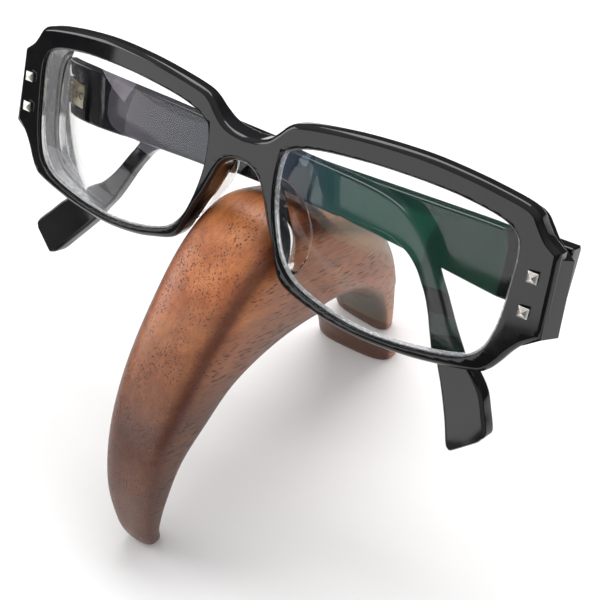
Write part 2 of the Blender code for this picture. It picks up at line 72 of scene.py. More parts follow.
# --- front: outlines in the glasses frame, x from the bridge and z up the front, in mm
TOP_EDGE = [(0, 20.2), (3.5, 20.6), (6, 21.6), (8.2, 23.6), (10.3, 25.8), (13, 27.1),
            (20, 28.3), (30, 29.3), (42, 29.5), (52, 28.6), (60, 27.3), (64.6, 26.2),
            (66.8, 24.9), (68.2, 22.9), (70.1, 20.5), (72.8, 18.5)]
SIDE_EDGE = [(72.8, 18.5), (73.3, 9.3), (73.7, 0.2)]
LOWER_EDGE = [(73.7, 0.2), (70.4, -2.2), (68.4, -4.6), (66.6, -7.6), (64.8, -10), (62.2, -11.5),
              (54, -13), (46, -13.9), (36, -14.1), (27, -13), (21, -11.4), (16.4, -9.8),
              (14, -7.8), (12.5, -4.6), (10.9, -0.6), (9, 3.2), (7.4, 7.2), (5.8, 10.8),
              (4, 13), (2, 14.1), (0, 14.4)]
LENS_OPENING = [(10.9, 20.6), (14.2, 22.2), (20, 23.5), (30, 24.4), (37, 24.6), (44, 24.5),
                (51, 24.0), (58, 22.8), (62, 21.4), (64.3, 19.2), (65.1, 15.5), (65.1, 10),
                (64.9, 4), (64.3, -1.2), (62.8, -5.8), (59.6, -9), (54.9, -10.6), (46, -11.9),
                (37, -12.3), (29, -11.4), (22, -9.6), (17, -7.2), (13.6, -3.4), (11.4, 1.8),
                (10, 7), (9.3, 12), (9.3, 16.5), (9.8, 19.2)]
OUTLINE_STEPS = 5
FRONT_BOW = 1.27e-3
FRONT_THICK = 4.2
# (inset, depth) of the rim's outer wall, from the front face round to the back face
RIM_PROFILE = [(1.15, 0.0), (0.95, 0.03), (0.55, 0.3), (0.2, 0.72), (0.04, 1.0), (0.0, 1.3),
               (0.0, 3.5), (0.1, 3.85), (0.35, 4.1), (0.7, 4.2)]
# walls deeper than this follow the nose's extra depth
RIM_MIDDLE = 2.5
# width of the strips the front face is cut into, and how many lie on each side of the middle
BOW_STRIP, BOW_CUTS = 3.0, 24
# the bridge and nose walls run deeper: full within the first radius of a point, fading at the second
NOSE_Z, NOSE_FULL, NOSE_FADE, NOSE_EXTRA = 6.0, 12.0, 24.0, 3.0
NOSE_FLARE = 0.015
# (inset, depth) of the lens opening's wall, from front to back; a negative inset cuts into the rim
OPENING_PROFILE = [(-0.3, 0.0), (-0.1, 0.06), (0.0, 0.25), (0.0, 1.2), (-0.9, 2.1), (0.0, 3.0),
                   (0.0, 3.9), (-0.1, 4.12), (-0.35, 4.2)]
BLOCK_START, BLOCK_BACK = 7.25, 12.7
BLOCK_OUTLINE = [(62.5, 22.8), (62.5, 24.8), (64.5, 24.4), (66.3, 23.3), (67.7, 21.4), (69.7, 19.2),
                 (72.6, 17.3), (73.5, 0.0), (70.2, -2.5), (66.9, -2.5), (66.9, 20.5)]
BLOCK_REAR = [(62.5, 22.8), (62.5, 24.8), (64.6, 24.7), (66.6, 23.7), (68.2, 21.9), (70.4, 19.3),
              (74.2, 16.3), (75.2, -0.3), (71.0, -2.5), (66.9, -2.5), (66.9, 20.5)]

# --- lenses
LENS_DOME = 1.5
LENS_FRONT = 0.9
# the V edge: how far it stands out, and the depths of its foot, ridge, ridge and foot
LENS_RIDGE = 0.9
LENS_V_DEPTHS = (1.4, 2.05, 2.15, 2.8)
LENS_LAST_STEP, LENS_EDGE_DROP = 0.994, 0.12
LENS_CENTRE_THICK = 2.0
LENS_GROWTH = 0.0032
OPTICAL_CENTRE = (32.0, 8.5)
LENS_GAP = 0.3
LENS_RADIAL_STEPS = 14

# --- nose pads: height, inner x and reach backwards of each station
PAD_STATIONS = [(13.0, 4.9, 2.0), (11.0, 5.9, 5.2), (7.2, 7.5, 8.2), (3.4, 9.1, 9.2),
                (-0.6, 11.0, 8.8), (-4.6, 12.7, 6.4), (-7.4, 14.2, 2.6)]
PAD_LEAST = 0.8
PAD_GAP = 0.3
PAD_THICK = (1.5, 1.2)

# --- hinge, studs and temples
HINGE_X, HINGE_Y, HINGE_Z = 70.0, 15.2, 8.5
SHANK_R = 0.6
FRONT_LEAF_BACK, LEAF_THICK = 12.8, 0.7
LEAF_LOW, LEAF_HIGH = 3.4, 14.2
STUD_X = 69.0
STUD_Z = {"upper": 12.6, "lower": 5.0}
STUD_SIDE, STUD_TALL, STUD_LIFT = 2.3, 0.9, 0.5
TEMPLE_STATIONS = [
    ((-2, 17.3), (-2, 1.3)), ((12, 17.1), (12, 2)), ((30, 16.8), (30, 3.4)), ((50, 16.4), (50, 4.6)),
    ((70, 15.9), (70, 5.1)), ((86, 15.4), (86, 5.4)), ((95, 14.9), (95, 5.6)), ((101, 14), (100, 5.6)),
    ((105.3, 12.6), (103, 5.4)), ((108.8, 10.4), (105.8, 4.6)), ((112, 7.4), (108.6, 3.2)),
    ((114.8, 3.8), (111.2, 1)), ((117.2, 0.2), (113.2, -1.6)), ((119.9, -3.7), (115.6, -5.2)),
    ((123.2, -8.4), (118.4, -10.7)), ((127.2, -12.7), (121.4, -16.2)), ((131.2, -15.3), (124.2, -20.2)),
    ((134.5, -17.8), (126.7, -23.8)), ((136.9, -21), (128.9, -27)), ((139.1, -24.2), (131, -30.2)),
    ((138.5, -25.7), (132.3, -30.9)),
]
TEMPLE_STEPS = 6
TEMPLE_THICK = 4.2
TEMPLE_FACE = -0.8
TEMPLE_ROUND = 0.75
POCKETS = ((1.9, 7.7, 7.0), (2.0, 2.1, 8.4))
TIP_WRAP = {"left": 10.0, "right": 8.8}
TIP_AXIS = (0.55, -0.835)
WRAP_START, WRAP_LENGTH, WRAP_POWER = 55.0, 42.0, 2.4
DROOP = {"left": math.tan(math.radians(1.3)), "right": math.tan(math.radians(-0.6))}
FOLD = {"left": math.radians(87.0), "right": math.radians(91.7)}

# --- looks: the lenses' reflected tint from one end of the front to the other, and the wood
BLOOM = [(0.05, (0.26, 0.18, 0.3)), (0.3, (0.3, 0.3, 0.36)), (0.62, (0.12, 0.2, 0.36)),
         (0.8, (0.03, 0.3, 0.22)), (0.97, (0.08, 0.34, 0.22))]
GRAIN_TURN = (math.radians(11), 0.0, 0.0)
# object-space spans in metres of the wood's painted shade and painted highlight, and how much of the colour
# is left
PAINTED_LIGHT_HEIGHT = (0.01, 0.066)
PAINTED_LIGHT_TONES = [(0.0, (0.28, 0.28, 0.34)), (0.4, (0.36, 0.34, 0.38)), (0.75, (0.68, 0.62, 0.58)),
                   (1.0, (1.3, 1.22, 1.05))]
FRONT_LEG = (0.04, 0.06)
REAR_LEG = (0.045, 0.062)
# painted shade colour for the inner face of the rear leg
INNER_PAINTED_SHADE = (0.2, 0.2, 0.26)

# --- room, lights and camera
TABLE = ((-0.3, -0.09), (2.0, 2.5))
LIT_SKY = (0.66, 0.66, 0.67)
MIRRORED_SKY = [(0.0, (0.05, 0.05, 0.055)), (0.35, (0.1, 0.1, 0.11)), (1.0, (0.5, 0.5, 0.52))]
# name, place, aim, size and face brightness
LIGHTS = [
    ("overhead", (-0.15, 0.45, 0.9), (0, 0.04, 0.03), (0.9, 0.6), 4.5),
    ("left_window", (-0.8, -0.25, 0.45), (0, 0.03, 0.05), (0.5, 0.5), 4.0),
    ("front_wall", (-0.42, -1.09, 0.22), (0, 0, 0.14), (1.45, 0.6), 1.7),
]
CAMERA_AT = (0.1499, -0.14594, 0.23298)
CAMERA_AIM = (-0.4607, 0.6372, -0.6179)
CAMERA_ROLL = math.radians(0.27)
CAMERA_LENS, CAMERA_SENSOR, CAMERA_NEAR = 77.29, 36.0, 0.01


# ---------------------------------------------------------------- placing
def seat_matrix():
    """Glasses frame to world, from the left hinge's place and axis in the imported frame."""
    hinge = next(j for j in frame["joints"] if j["name"] == "temple_left_open")
    up = -Vector(hinge["axis"]).normalized()
    side = Vector((1, 0, 0))
    back = up.cross(side)
    turn = Matrix((side, back, up)).transposed().to_4x4()
    point = Vector(hinge["pos_m"]) - turn @ (Vector((HINGE_X, HINGE_Y, HINGE_Z)) * MM)
    return Matrix.Translation(point) @ turn


SEAT = seat_matrix()


def hub_matrix(side):
    """Temple frame to world: x outwards for the left side, y along the temple, z up its hinge."""
    place = Matrix.Translation(Vector((SIDES[side] * HINGE_X, HINGE_Y, 0)) * MM)
    return SEAT @ place @ Matrix.Rotation(SIDES[side] * FOLD[side], 4, "Z")


# ---------------------------------------------------------------- mesh helpers
def smooth_path(points, steps, closed=False):
    """Catmull-Rom curve through the points; an open path keeps its last point."""
    pts = [Vector(p) for p in points]
    count = len(pts)
    out = []
    for i in range(count if closed else count - 1):
        p1, p2 = pts[i], pts[(i + 1) % count]
        p0 = pts[i - 1] if closed or i > 0 else 2 * p1 - p2
        p3 = pts[(i + 2) % count] if closed or i + 2 < count else 2 * p2 - p1
        for k in range(steps):
            t = k / steps
            out.append(0.5 * (2 * p1 + (p2 - p0) * t + (2 * p0 - 5 * p1 + 4 * p2 - p3) * t * t
                              + (3 * p1 - p0 - 3 * p2 + p3) * t ** 3))
    if not closed:
        out.append(pts[-1])
    return out


def joined(paths, steps):
    """Open paths that share end points, as one closed loop with corners."""
    loop = []
    for path in paths:
        loop += smooth_path(path, steps)[:-1]
    return loop


def inset(loop, distance):
    """Move a clockwise 2-D loop inwards; a negative distance moves it outwards."""
    out = []
    count = len(loop)
    for i, p in enumerate(loop):
        a = (p - loop[i - 1]).normalized()
        b = (loop[(i + 1) % count] - p).normalized()
        normal = Vector((a.y + b.y, -a.x - b.x)).normalized()
        spread = max(0.5, normal.dot(Vector((a.y, -a.x))))
        out.append(p + normal * distance / spread)
    return out


def ring_faces(bm, rings, slot=0):
    """Quads between neighbouring closed rings."""
    count = len(rings[0])
    for low, high in zip(rings, rings[1:]):
        for i in range(count):
            j = (i + 1) % count
            bm.faces.new((low[i], low[j], high[j], high[i])).material_index = slot


def cap(bm, outer, holes=()):
    """Fill a loop of vertices, less its holes, with triangles found in the x-z view."""
    verts = list(outer)
    loops = [[Vector((v.co.x, v.co.z, 0)) for v in outer]]
    for hole in holes:
        loops.append([Vector((v.co.x, v.co.z, 0)) for v in hole])
        verts += hole
    return [bm.faces.new([verts[i] for i in tri]) for tri in tessellate_polygon(loops)]


def follow_bow(bm, faces, depth):
    """Cut a cap into strips across the front and lay the new points on the bow."""
    edges = {edge for face in faces for edge in face.edges}
    verts = {vert for face in faces for vert in face.verts}
    geom = list(faces) + list(edges) + list(verts)
    for step in range(-BOW_CUTS, BOW_CUTS + 1):
        place = (step * BOW_STRIP, 0, 0)
        cut = bmesh.ops.bisect_plane(bm, geom=geom, dist=1e-5, plane_co=place, plane_no=(1, 0, 0))
        geom = cut["geom"]
        for vert in cut["geom_cut"]:
            if isinstance(vert, bmesh.types.BMVert):
                vert.co.y = bow(vert.co.x) + depth


def fan(bm, ring, slot=0):
    """Close a ring with triangles to its middle."""
    middle = bm.verts.new(sum((v.co for v in ring), Vector()) / len(ring))
    for i, vert in enumerate(ring):
        bm.faces.new((vert, ring[(i + 1) % len(ring)], middle)).material_index = slot


def loft(rings, close=fan):
    bm = bmesh.new()
    loops = [[bm.verts.new(p) for p in ring] for ring in rings]
    ring_faces(bm, loops)
    close(bm, loops[0])
    close(bm, loops[-1])
    return bm


def plain(bm, ring):
    bm.faces.new(ring)


def box(low, high):
    (x0, y0, z0), (x1, y1, z1) = low, high
    square = ((x0, y0), (x1, y0), (x1, y1), (x0, y1))
    return loft([[(x, y, z) for x, y in square] for z in (z0, z1)], plain)


def merged(parts):
    """Several bmeshes as one."""
    whole = bmesh.new()
    for part in parts:
        mesh = bpy.data.meshes.new("part")
        part.to_mesh(mesh)
        part.free()
        whole.from_mesh(mesh)
        bpy.data.meshes.remove(mesh)
    return whole


def make(bm, name, matrix, materials, angle=38):
    """Turn a bmesh in millimetres into an object whose mesh is in world metres."""
    bmesh.ops.recalc_face_normals(bm, faces=bm.faces)
    bmesh.ops.transform(bm, matrix=matrix @ Matrix.Scale(MM, 4), verts=bm.verts)
    mesh = bpy.data.meshes.new(name)
    bm.to_mesh(mesh)
    bm.free()
    obj = bpy.data.objects.new(name, mesh)
    bpy.context.scene.collection.objects.link(obj)
    for mat in materials:
        mesh.materials.append(mat)
    shade(obj, angle)
    return obj


def shade(obj, angle=38):
    obj.data.shade_smooth()
    obj.data.set_sharp_from_angle(angle=math.radians(angle))


def weighted(obj):
    """Keep large flat faces flat where a rounded edge meets them."""
    mod = obj.modifiers.new("weighted", "WEIGHTED_NORMAL")
    mod.keep_sharp = True
    mod.weight = 80


def boolean(obj, cutter, operation="DIFFERENCE"):
    mod = obj.modifiers.new("boolean", "BOOLEAN")
    mod.operation = operation
    mod.object = cutter
    bpy.context.view_layer.update()
    deps = bpy.context.evaluated_depsgraph_get()
    mesh = bpy.data.meshes.new_from_object(obj.evaluated_get(deps))
    obj.modifiers.clear()
    obj.data = mesh
    bpy.data.objects.remove(cutter, do_unlink=True)


def keep(obj, body, slot, *nodes):
    """Ride on a body and stand for CAD nodes; the slot is not used."""
    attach(obj, body)
    if nodes:
        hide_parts(*nodes)


# ---------------------------------------------------------------- materials
def new_material(name):
    mat = bpy.data.materials.new(name)
    mat.use_nodes = True
    return mat, mat.node_tree.nodes, mat.node_tree.links, mat.node_tree.nodes["Principled BSDF"]


def ramp(nodes, stops):
    """A colour ramp from (position, colour) pairs."""
    node = nodes.new("ShaderNodeValToRGB")
    elements = node.color_ramp.elements
    while len(elements) < len(stops):
        elements.new(0.5)
    for element, (position, colour) in zip(elements, stops):
        element.position = position
        element.color = (*colour, 1.0)
    return node


def stretched(nodes, links, scale, turn=(0, 0, 0)):
    """Object coordinates, turned and then scaled per axis."""
    coords = nodes.new("ShaderNodeTexCoord")
    rotate = nodes.new("ShaderNodeMapping")
    rotate.inputs["Rotation"].default_value = turn
    stretch = nodes.new("ShaderNodeMapping")
    stretch.inputs["Scale"].default_value = scale
    links.new(coords.outputs["Object"], rotate.inputs["Vector"])
    links.new(rotate.outputs["Vector"], stretch.inputs["Vector"])
    return stretch.outputs["Vector"]


def noise(nodes, links, vector, scale, detail=3.0, distortion=0.0, roughness=0.5):
    node = nodes.new("ShaderNodeTexNoise")
    node.inputs["Scale"].default_value = scale
    node.inputs["Detail"].default_value = detail
    node.inputs["Distortion"].default_value = distortion
    node.inputs["Roughness"].default_value = roughness
    links.new(vector, node.inputs["Vector"])
    return node.outputs["Fac"]


def remap(nodes, links, value, low, high, to_low=0.0, to_high=1.0):
    node = nodes.new("ShaderNodeMapRange")
    node.interpolation_type = "SMOOTHSTEP"
    node.inputs["From Min"].default_value = low
    node.inputs["From Max"].default_value = high
    node.inputs["To Min"].default_value = to_low
    node.inputs["To Max"].default_value = to_high
    links.new(value, node.inputs["Value"])
    return node.outputs["Result"]


def mix(nodes, links, fac, a, b, blend="MIX"):
    """Mix two colours; each is a socket or a plain colour."""
    node = nodes.new("ShaderNodeMix")
    node.data_type = "RGBA"
    node.blend_type = blend
    sockets = {"Factor": fac, "A": a, "B": b}
    for name, value in sockets.items():
        socket = next(s for s in node.inputs if s.name == name and (name == "Factor") == (s.type == "VALUE")
                      and s.enabled)
        if isinstance(value, bpy.types.NodeSocket):
            links.new(value, socket)
        elif isinstance(value, (int, float)):
            socket.default_value = value
        else:
            socket.default_value = (*value, 1.0)
    return next(s for s in node.outputs if s.enabled)


def math_node(nodes, links, operation, a, b=None):
    node = nodes.new("ShaderNodeMath")
    node.operation = operation
    for socket, value in zip(node.inputs, (a, b)):
        if isinstance(value, bpy.types.NodeSocket):
            links.new(value, socket)
        elif value is not None:
            socket.default_value = value
    return node.outputs["Value"]


def bump(nodes, links, height, strength, distance, normal=None):
    node = nodes.new("ShaderNodeBump")
    node.inputs["Strength"].default_value = strength
    node.inputs["Distance"].default_value = distance
    links.new(height, node.inputs["Height"])
    if normal is not None:
        links.new(normal, node.inputs["Normal"])
    return node.outputs["Normal"]


def wood_material():
    """Oiled hardwood: grain along the rest's length, dark open pores, warm and grey-brown clouds, painted
    shade and a painted highlight.
    """
    mat, nodes, links, shader = new_material("oiled_hardwood")
    along = stretched(nodes, links, (1.0, 0.12, 1.0), GRAIN_TURN)
    cloud = stretched(nodes, links, (1.0, 0.45, 1.0), GRAIN_TURN)
    fine = noise(nodes, links, along, 1500.0, 4.0, 0.2, 0.65)
    streak = noise(nodes, links, along, 260.0, 5.0, 0.6, 0.6)
    patch = noise(nodes, links, cloud, 42.0, 3.0, 0.8, 0.55)
    figure = ramp(nodes, [(0.25, (0.17, 0.048, 0.017)), (0.45, (0.34, 0.108, 0.038)),
                          (0.6, (0.5, 0.185, 0.07)), (0.8, (0.66, 0.3, 0.125))])
    blend = math_node(nodes, links, "ADD", math_node(nodes, links, "MULTIPLY", patch, 0.62),
                      math_node(nodes, links, "MULTIPLY", streak, 0.4))
    links.new(blend, figure.inputs["Fac"])
    colour = figure.outputs["Color"]

    grey = remap(nodes, links, noise(nodes, links, cloud, 65.0, 2.0, 0.5), 0.42, 0.66)
    colour = mix(nodes, links, math_node(nodes, links, "MULTIPLY", grey, 0.3), colour, (0.235, 0.15, 0.098))
    colour = mix(nodes, links, 0.7, colour, fibre_tint(nodes, links, fine), "MULTIPLY")
    # painted shade and painted highlight multiplied into the wood's colour
    colour = mix(nodes, links, 1.0, colour, painted_light_and_shade(nodes, links), "MULTIPLY")
    pores = pore_mask(nodes, links)
    dashes = math_node(nodes, links, "MULTIPLY", pores, 0.8)
    colour = mix(nodes, links, dashes, colour, (0.05, 0.018, 0.011))
    # painted shade along the rounded corners between the outer face and the flanks
    corner_shade = math_node(nodes, links, "MULTIPLY", painted_corner_shade(nodes, links), 0.75)
    colour = mix(nodes, links, corner_shade, colour, (0.085, 0.022, 0.012))
    links.new(colour, shader.inputs["Base Color"])

    rough = math_node(nodes, links, "ADD", remap(nodes, links, streak, 0.3, 0.7, 0.34, 0.46),
                      math_node(nodes, links, "MULTIPLY", pores, 0.25))
    links.new(rough, shader.inputs["Roughness"])
    shader.inputs["Coat Weight"].default_value = 0.12
    shader.inputs["Coat Roughness"].default_value = 0.25
    normal = bump(nodes, links, fine, 0.25, 0.00008)
    normal = bump(nodes, links, math_node(nodes, links, "SUBTRACT", 1.0, pores), 0.5, 0.00015, normal)
    links.new(normal, shader.inputs["Normal"])
    return mat


def painted_light_and_shade(nodes, links):
    """Painted shade darkening the front leg towards the toe, a painted highlight brightening it towards the
    nose, and painted shade on the inner face of the rear leg.
    """
    coords = nodes.new("ShaderNodeTexCoord")
    place = nodes.new("ShaderNodeSeparateXYZ")
    facing = nodes.new("ShaderNodeSeparateXYZ")
    links.new(coords.outputs["Object"], place.inputs["Vector"])
    links.new(coords.outputs["Normal"], facing.inputs["Vector"])
    height = remap(nodes, links, place.outputs["Z"], *PAINTED_LIGHT_HEIGHT)
    tone = ramp(nodes, PAINTED_LIGHT_TONES)
    links.new(height, tone.inputs["Fac"])
    # painted shade where the rear leg's inner face looks forward
    forward = remap(nodes, links, facing.outputs["Y"], -0.75, -0.3, 1.0, 0.0)
    rear = remap(nodes, links, place.outputs["Y"], *REAR_LEG)
    inner = math_node(nodes, links, "MULTIPLY", forward, rear)
    low = remap(nodes, links, place.outputs["Y"], *FRONT_LEG)
    toned = mix(nodes, links, low, tone.outputs["Color"], (1.0, 1.0, 1.0))
    return mix(nodes, links, inner, toned, INNER_PAINTED_SHADE)


def fibre_tint(nodes, links, fine):
    tint = ramp(nodes, [(0.3, (0.62, 0.58, 0.55)), (0.7, (1.0, 1.0, 1.0))])
    links.new(fine, tint.inputs["Fac"])
    return tint.outputs["Color"]


def pore_mask(nodes, links):
    """Short dark dashes along the grain, denser in some growth bands than others."""
    masks = []
    for scale, length, cut in ((1900.0, 0.1, 0.17), (1250.0, 0.12, 0.15)):
        vector = stretched(nodes, links, (1.0, length, 1.0), GRAIN_TURN)
        cells = nodes.new("ShaderNodeTexVoronoi")
        cells.inputs["Scale"].default_value = scale
        cells.inputs["Randomness"].default_value = 1.0
        links.new(vector, cells.inputs["Vector"])
        masks.append(remap(nodes, links, cells.outputs["Distance"], cut, cut + 0.16, 1.0, 0.0))
    both = math_node(nodes, links, "MAXIMUM", masks[0], masks[1])
    band = stretched(nodes, links, (1.0, 0.3, 1.0), GRAIN_TURN)
    density = remap(nodes, links, noise(nodes, links, band, 170.0, 2.0), 0.38, 0.6, 0.25, 1.0)
    return math_node(nodes, links, "MULTIPLY", both, density)


def painted_corner_shade(nodes, links):
    """Painted shade: darker colour along the rounded corners between the broad outer face and the flanks,
    picked by which way the surface faces.
    """
    geometry = nodes.new("ShaderNodeTexCoord")
    split = nodes.new("ShaderNodeSeparateXYZ")
    links.new(geometry.outputs["Normal"], split.inputs["Vector"])
    sideways = math_node(nodes, links, "ABSOLUTE", split.outputs["X"])
    rise = remap(nodes, links, sideways, 0.35, 0.72)
    fall = remap(nodes, links, sideways, 0.8, 0.97, 1.0, 0.0)
    return math_node(nodes, links, "MULTIPLY", rise, fall)


def acetate_material():
    """Polished black acetate with faint haze and buffing marks."""
    mat, nodes, links, shader = new_material("black_acetate")
    vector = stretched(nodes, links, (1.0, 1.0, 1.0))
    haze = noise(nodes, links, vector, 180.0, 4.0)
    tone = ramp(nodes, [(0.3, (0.0045, 0.0045, 0.005)), (0.75, (0.0085, 0.0083, 0.0086))])
    links.new(haze, tone.inputs["Fac"])
    links.new(tone.outputs["Color"], shader.inputs["Base Color"])
    links.new(remap(nodes, links, haze, 0.3, 0.8, 0.05, 0.11), shader.inputs["Roughness"])
    shader.inputs["IOR"].default_value = 1.5
    return mat


def clear_for_shadows(mat, shader, tint):
    """Let light through to what lies behind, as thin clear plastic does."""
    nodes, links = mat.node_tree.nodes, mat.node_tree.links
    output = nodes["Material Output"]
    path = nodes.new("ShaderNodeLightPath")
    see_through = nodes.new("ShaderNodeBsdfTransparent")
    see_through.inputs["Color"].default_value = (*tint, 1.0)
    choose = nodes.new("ShaderNodeMixShader")
    shadow, diffuse = path.outputs["Is Shadow Ray"], path.outputs["Is Diffuse Ray"]
    either = math_node(nodes, links, "MAXIMUM", shadow, diffuse)
    links.new(either, choose.inputs["Fac"])
    links.new(shader.outputs["BSDF"], choose.inputs[1])
    links.new(see_through.outputs["BSDF"], choose.inputs[2])
    links.new(choose.outputs["Shader"], output.inputs["Surface"])


def lens_material():
    """Clear lens; its anti-reflection bloom runs from violet grey through blue to green."""
    mat, nodes, links, shader = new_material("lens_glass")
    shader.inputs["Transmission Weight"].default_value = 1.0
    shader.inputs["IOR"].default_value = 1.6
    vector = stretched(nodes, links, (1.0, 1.0, 1.0))
    smear = noise(nodes, links, vector, 30.0, 3.0, 0.4)
    links.new(remap(nodes, links, smear, 0.35, 0.75, 0.0, 0.01), shader.inputs["Roughness"])
    tint = ramp(nodes, [(0.3, (0.995, 0.995, 0.993)), (0.7, (0.985, 0.99, 0.988))])
    links.new(smear, tint.inputs["Fac"])
    links.new(tint.outputs["Color"], shader.inputs["Base Color"])
    split = nodes.new("ShaderNodeSeparateXYZ")
    links.new(vector, split.inputs["Vector"])
    across = remap(nodes, links, split.outputs["X"], -0.07, 0.07)
    bloom = ramp(nodes, BLOOM)
    links.new(across, bloom.inputs["Fac"])
    links.new(bloom.outputs["Color"], shader.inputs["Specular Tint"])
    clear_for_shadows(mat, shader, (0.96, 0.97, 0.965))
    return mat


def lens_edge_material():
    """The ground and polished edge of the lens: bright grey with fine wheel marks."""
    mat, nodes, links, shader = new_material("lens_edge")
    vector = stretched(nodes, links, (1.0, 1.0, 1.0))
    marks = noise(nodes, links, vector, 900.0, 3.0)
    tone = ramp(nodes, [(0.35, (0.5, 0.51, 0.53)), (0.7, (0.78, 0.79, 0.8))])
    links.new(marks, tone.inputs["Fac"])
    links.new(tone.outputs["Color"], shader.inputs["Base Color"])
    links.new(remap(nodes, links, marks, 0.3, 0.7, 0.15, 0.3), shader.inputs["Roughness"])
    shader.inputs["Transmission Weight"].default_value = 0.35
    return mat


def clear_acetate_material():
    mat, nodes, links, shader = new_material("clear_acetate")
    shader.inputs["Transmission Weight"].default_value = 1.0
    shader.inputs["IOR"].default_value = 1.48
    vector = stretched(nodes, links, (1.0, 1.0, 1.0))
    haze = noise(nodes, links, vector, 400.0, 3.0)
    links.new(remap(nodes, links, haze, 0.3, 0.8, 0.0, 0.05), shader.inputs["Roughness"])
    tint = ramp(nodes, [(0.3, (0.96, 0.95, 0.93)), (0.7, (0.99, 0.985, 0.97))])
    links.new(haze, tint.inputs["Fac"])
    links.new(tint.outputs["Color"], shader.inputs["Base Color"])
    clear_for_shadows(mat, shader, (0.94, 0.93, 0.92))
    return mat


def metal_material(name, dark, light, low, high, grain=1800.0):
    """Plated or polished metal with fine wear in its tone and roughness."""
    mat, nodes, links, shader = new_material(name)
    vector = stretched(nodes, links, (1.0, 1.0, 0.35))
    wear = noise(nodes, links, vector, grain, 4.0)
    tone = ramp(nodes, [(0.3, dark), (0.75, light)])
    links.new(wear, tone.inputs["Fac"])
    links.new(tone.outputs["Color"], shader.inputs["Base Color"])
    links.new(remap(nodes, links, wear, 0.3, 0.8, low, high), shader.inputs["Roughness"])
    shader.inputs["Metallic"].default_value = 1.0
    links.new(bump(nodes, links, wear, 0.05, 0.00002), shader.inputs["Normal"])
    return mat


def floor_material():
    mat, nodes, links, shader = new_material("pale_floor")
    vector = stretched(nodes, links, (1.0, 1.0, 1.0))
    cloud = noise(nodes, links, vector, 6.0, 2.0)
    tone = ramp(nodes, [(0.3, (0.86, 0.855, 0.845)), (0.7, (0.88, 0.877, 0.87))])
    links.new(cloud, tone.inputs["Fac"])
    links.new(tone.outputs["Color"], shader.inputs["Base Color"])
    shader.inputs["Roughness"].default_value = 0.6
    return mat


# ---------------------------------------------------------------- wooden rest
def rest_ring(outer, inner, half_width):
    """One rounded-square section between its outer and inner point."""
    middle, reach = (outer + inner) / 2, (outer - inner) / 2
    ring = []
    for i in range(REST_AROUND):
        angle = math.tau * i / REST_AROUND
        c, s = math.cos(angle), math.sin(angle)
        across = math.copysign(abs(c) ** (2 / REST_ROUNDNESS), c)
        out = math.copysign(abs(s) ** (2 / REST_ROUNDNESS), s)
        point = middle + reach * out
        ring.append((half_width * across, point.x, point.y))
    return ring


def build_rest(wood):
    outer = smooth_path([s[0] for s in REST_STATIONS], REST_STEPS)
    inner = smooth_path([s[1] for s in REST_STATIONS], REST_STEPS)
    width = smooth_path([(s[2], 0) for s in REST_STATIONS], REST_STEPS)
    rings = [rest_ring(o, i, w.x) for o, i, w in zip(outer, inner, width)]
    rest = make(loft(rings), "carved_rest", Matrix.Identity(4), [wood], 50)
    keep(rest, "stand", "wood", "wood_rest")


# ---------------------------------------------------------------- front
def bow(x):
    return FRONT_BOW * x * x


def opening(sign, steps=OUTLINE_STEPS):
    loop = smooth_path(LENS_OPENING, steps, closed=True)
    if sign < 0:
        loop = [Vector((-p.x, p.y)) for p in reversed(loop)]
    return loop


def nose_extra(x, z):
    """Extra depth of the bridge and nose walls at a point of the front's outline."""
    t = (NOSE_FADE - math.hypot(x, z - NOSE_Z)) / (NOSE_FADE - NOSE_FULL)
    t = min(1.0, max(0.0, t))
    return NOSE_EXTRA * t * t * (3 - 2 * t)


def lay(bm, loop, depth):
    """Vertices of a 2-D loop laid at a depth behind the bowed front face."""
    return [bm.verts.new((p.x, bow(p.x) + depth, p.y)) for p in loop]


def lay_back(bm, loop, depth):
    """The same for the back of the rim, carried deeper and wider round the nose."""
    ring = lay(bm, loop, depth)
    for vert, p in zip(ring, loop):
        extra = nose_extra(p.x, p.y)
        vert.co.x *= 1 + NOSE_FLARE * extra
        vert.co.y += extra
    return ring


def block(sign):
    """The thick endpiece behind the front's outer end."""
    front = smooth_block(BLOCK_OUTLINE)
    rear = smooth_block(BLOCK_REAR)
    rings = []
    for y, t, shrink in ((BLOCK_START, 0.0, 0.03), (BLOCK_BACK - 0.35, 0.94, 0.0),
                         (BLOCK_BACK - 0.1, 1.0, 0.12), (BLOCK_BACK, 1.0, 0.4)):
        loop = inset([a.lerp(b, t) for a, b in zip(front, rear)], shrink)
        rings.append([(sign * p.x, y, p.y) for p in loop])
    return loft(rings, plain)


def smooth_block(outline):
    """The block's outline with its scooped top corner drawn as a curve."""
    scoop = smooth_path(outline[1:7], 6)
    return [Vector(outline[0])] + scoop + [Vector(p) for p in outline[7:]]


